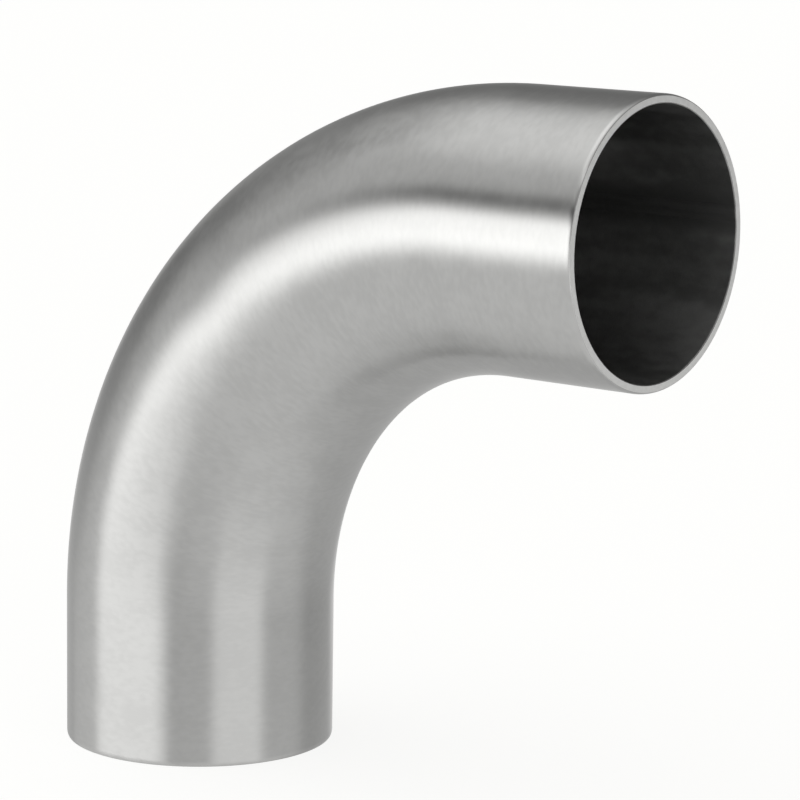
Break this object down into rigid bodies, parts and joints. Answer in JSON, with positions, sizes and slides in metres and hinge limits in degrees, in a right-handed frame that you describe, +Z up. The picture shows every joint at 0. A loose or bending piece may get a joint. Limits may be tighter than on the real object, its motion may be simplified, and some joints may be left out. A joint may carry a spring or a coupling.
{
  "type": "pipe elbow",
  "caption": "Thin-walled stainless tube elbow: a ninety degree long-radius bend with short straight ends, cut square for butt welding.",
  "frame": {"origin": "centre of the inlet's end face, on the tube's centreline", "axes": "+Z up the inlet's centreline into the tube, +X the way the outlet faces, the bend in the XZ plane"},
  "size_m": [0.1286, 0.0508, 0.1286],
  "materials": {
    "tube_steel": "satin, brushed round the tube",
    "weld_steel": "weld bead ground flush and brushed with the tube"
  },
  "bodies": {
    "root": {"inlet_tangent": "tube_steel", "bend": "tube_steel", "outlet_tangent": "tube_steel", "seam_weld": "weld_steel"}
  },
  "joints": []
}
